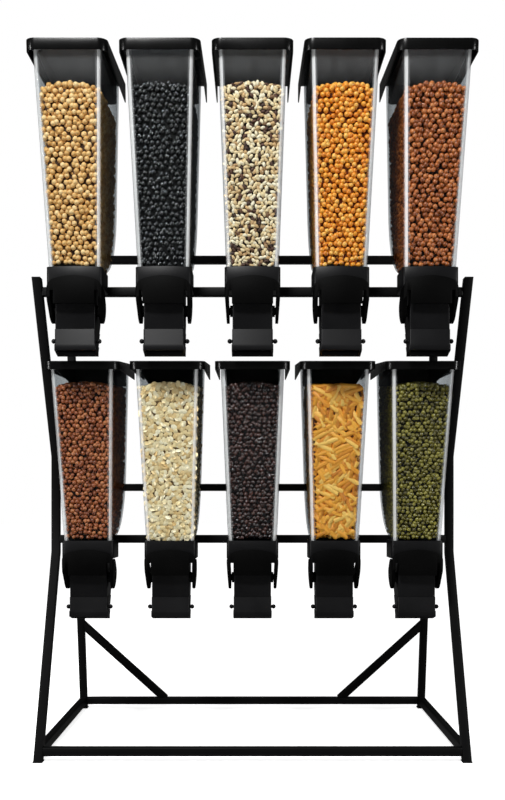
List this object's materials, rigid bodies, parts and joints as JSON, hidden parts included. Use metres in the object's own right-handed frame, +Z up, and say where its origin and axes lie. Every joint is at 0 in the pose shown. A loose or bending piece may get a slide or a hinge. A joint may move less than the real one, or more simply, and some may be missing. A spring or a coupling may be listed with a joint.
{
  "type": "gravity bulk food bin rack",
  "caption": "Rack of clear gravity bulk food bins with black hinged lids and lever outlets, hung in two rows on a black square-tube stand.",
  "frame": {"origin": "on the floor, in the middle of the rack's whole width and depth", "axes": "+Z up, front with the outlets towards -Y, +X to the right seen from the front"},
  "size_m": [0.963, 0.751, 1.5272],
  "materials": {
    "clear_plastic": "clear",
    "lid_plastic": "satin",
    "housing_plastic": "satin",
    "lever_plastic": "gloss",
    "gate_plastic": "satin",
    "frame_paint": "satin powder coat",
    "bracket_paint": "satin powder coat",
    "glide_plastic": "matte",
    "pin_steel": "brushed",
    "spring_steel": "wound wire",
    "food_upper": "loose dry food",
    "food_lower": "loose dry food"
  },
  "bodies": {
    "rack": {"hopper_1": "clear_plastic", "hopper_2": "clear_plastic", "hopper_3": "clear_plastic", "hopper_4": "clear_plastic", "hopper_5": "clear_plastic", "hopper_6": "clear_plastic", "hopper_7": "clear_plastic", "hopper_8": "clear_plastic", "hopper_9": "clear_plastic", "hopper_10": "clear_plastic", "outlet_housing_1": "housing_plastic", "outlet_housing_2": "housing_plastic", "outlet_housing_3": "housing_plastic", "outlet_housing_4": "housing_plastic", "outlet_housing_5": "housing_plastic", "outlet_housing_6": "housing_plastic", "outlet_housing_7": "housing_plastic", "outlet_housing_8": "housing_plastic", "outlet_housing_9": "housing_plastic", "outlet_housing_10": "housing_plastic", "side_frame_left": "frame_paint", "side_frame_right": "frame_paint", "hanging_rails": "frame_paint", "base_frame": "frame_paint", "foot_glides": "glide_plastic", "rail_brackets": "bracket_paint", "lid_pins": "pin_steel", "lever_springs": "spring_steel", "food_upper": "food_upper", "food_lower": "food_lower"},
    "lid_body_1": {"lid_1": "lid_plastic"},
    "lid_body_2": {"lid_2": "lid_plastic"},
    "lid_body_3": {"lid_3": "lid_plastic"},
    "lid_body_4": {"lid_4": "lid_plastic"},
    "lid_body_5": {"lid_5": "lid_plastic"},
    "lid_body_6": {"lid_6": "lid_plastic"},
    "lid_body_7": {"lid_7": "lid_plastic"},
    "lid_body_8": {"lid_8": "lid_plastic"},
    "lid_body_9": {"lid_9": "lid_plastic"},
    "lid_body_10": {"lid_10": "lid_plastic"},
    "lever_body_1": {"lever_1": "lever_plastic", "gate_1": "gate_plastic"},
    "lever_body_2": {"lever_2": "lever_plastic", "gate_2": "gate_plastic"},
    "lever_body_3": {"lever_3": "lever_plastic", "gate_3": "gate_plastic"},
    "lever_body_4": {"lever_4": "lever_plastic", "gate_4": "gate_plastic"},
    "lever_body_5": {"lever_5": "lever_plastic", "gate_5": "gate_plastic"},
    "lever_body_6": {"lever_6": "lever_plastic", "gate_6": "gate_plastic"},
    "lever_body_7": {"lever_7": "lever_plastic", "gate_7": "gate_plastic"},
    "lever_body_8": {"lever_8": "lever_plastic", "gate_8": "gate_plastic"},
    "lever_body_9": {"lever_9": "lever_plastic", "gate_9": "gate_plastic"},
    "lever_body_10": {"lever_10": "lever_plastic", "gate_10": "gate_plastic"}
  },
  "joints": [
    {"name": "lid_hinge_1", "type": "hinge", "parent": "rack", "child": "lid_body_1", "pos_m": [-0.372, -0.09813, 1.51454], "axis": [-1, 0, 0], "range_deg": [0, 100]},
    {"name": "lid_hinge_2", "type": "hinge", "parent": "rack", "child": "lid_body_2", "pos_m": [-0.186, -0.09813, 1.51454], "axis": [-1, 0, 0], "range_deg": [0, 100]},
    {"name": "lid_hinge_3", "type": "hinge", "parent": "rack", "child": "lid_body_3", "pos_m": [0, -0.09813, 1.51454], "axis": [-1, 0, 0], "range_deg": [0, 100]},
    {"name": "lid_hinge_4", "type": "hinge", "parent": "rack", "child": "lid_body_4", "pos_m": [0.186, -0.09813, 1.51454], "axis": [-1, 0, 0], "range_deg": [0, 100]},
    {"name": "lid_hinge_5", "type": "hinge", "parent": "rack", "child": "lid_body_5", "pos_m": [0.372, -0.09813, 1.51454], "axis": [-1, 0, 0], "range_deg": [0, 100]},
    {"name": "lid_hinge_6", "type": "hinge", "parent": "rack", "child": "lid_body_6", "pos_m": [-0.372, 0.06223, 0.89784], "axis": [-1, 0, 0], "range_deg": [0, 11]},
    {"name": "lid_hinge_7", "type": "hinge", "parent": "rack", "child": "lid_body_7", "pos_m": [-0.186, 0.06223, 0.89784], "axis": [-1, 0, 0], "range_deg": [0, 11]},
    {"name": "lid_hinge_8", "type": "hinge", "parent": "rack", "child": "lid_body_8", "pos_m": [0, 0.06223, 0.89784], "axis": [-1, 0, 0], "range_deg": [0, 11]},
    {"name": "lid_hinge_9", "type": "hinge", "parent": "rack", "child": "lid_body_9", "pos_m": [0.186, 0.06223, 0.89784], "axis": [-1, 0, 0], "range_deg": [0, 11]},
    {"name": "lid_hinge_10", "type": "hinge", "parent": "rack", "child": "lid_body_10", "pos_m": [0.372, 0.06223, 0.89784], "axis": [-1, 0, 0], "range_deg": [0, 11]},
    {"name": "lever_pivot_1", "type": "hinge", "parent": "rack", "child": "lever_body_1", "pos_m": [-0.372, -0.2469, 0.976], "axis": [1, 0, 0], "range_deg": [0, 50], "stiffness_Nm_per_rad": 0.25, "springref_deg": -20.05},
    {"name": "lever_pivot_2", "type": "hinge", "parent": "rack", "child": "lever_body_2", "pos_m": [-0.186, -0.2469, 0.976], "axis": [1, 0, 0], "range_deg": [0, 50], "stiffness_Nm_per_rad": 0.25, "springref_deg": -20.05},
    {"name": "lever_pivot_3", "type": "hinge", "parent": "rack", "child": "lever_body_3", "pos_m": [0, -0.2469, 0.976], "axis": [1, 0, 0], "range_deg": [0, 50], "stiffness_Nm_per_rad": 0.25, "springref_deg": -20.05},
    {"name": "lever_pivot_4", "type": "hinge", "parent": "rack", "child": "lever_body_4", "pos_m": [0.186, -0.2469, 0.976], "axis": [1, 0, 0], "range_deg": [0, 50], "stiffness_Nm_per_rad": 0.25, "springref_deg": -20.05},
    {"name": "lever_pivot_5", "type": "hinge", "parent": "rack", "child": "lever_body_5", "pos_m": [0.372, -0.2469, 0.976], "axis": [1, 0, 0], "range_deg": [0, 50], "stiffness_Nm_per_rad": 0.25, "springref_deg": -20.05},
    {"name": "lever_pivot_6", "type": "hinge", "parent": "rack", "child": "lever_body_6", "pos_m": [-0.372, -0.09142, 0.399], "axis": [1, 0, 0], "range_deg": [0, 50], "stiffness_Nm_per_rad": 0.25, "springref_deg": -20.05},
    {"name": "lever_pivot_7", "type": "hinge", "parent": "rack", "child": "lever_body_7", "pos_m": [-0.186, -0.09142, 0.399], "axis": [1, 0, 0], "range_deg": [0, 50], "stiffness_Nm_per_rad": 0.25, "springref_deg": -20.05},
    {"name": "lever_pivot_8", "type": "hinge", "parent": "rack", "child": "lever_body_8", "pos_m": [0, -0.09142, 0.399], "axis": [1, 0, 0], "range_deg": [0, 50], "stiffness_Nm_per_rad": 0.25, "springref_deg": -20.05},
    {"name": "lever_pivot_9", "type": "hinge", "parent": "rack", "child": "lever_body_9", "pos_m": [0.186, -0.09142, 0.399], "axis": [1, 0, 0], "range_deg": [0, 50], "stiffness_Nm_per_rad": 0.25, "springref_deg": -20.05},
    {"name": "lever_pivot_10", "type": "hinge", "parent": "rack", "child": "lever_body_10", "pos_m": [0.372, -0.09142, 0.399], "axis": [1, 0, 0], "range_deg": [0, 50], "stiffness_Nm_per_rad": 0.25, "springref_deg": -20.05}
  ]
}
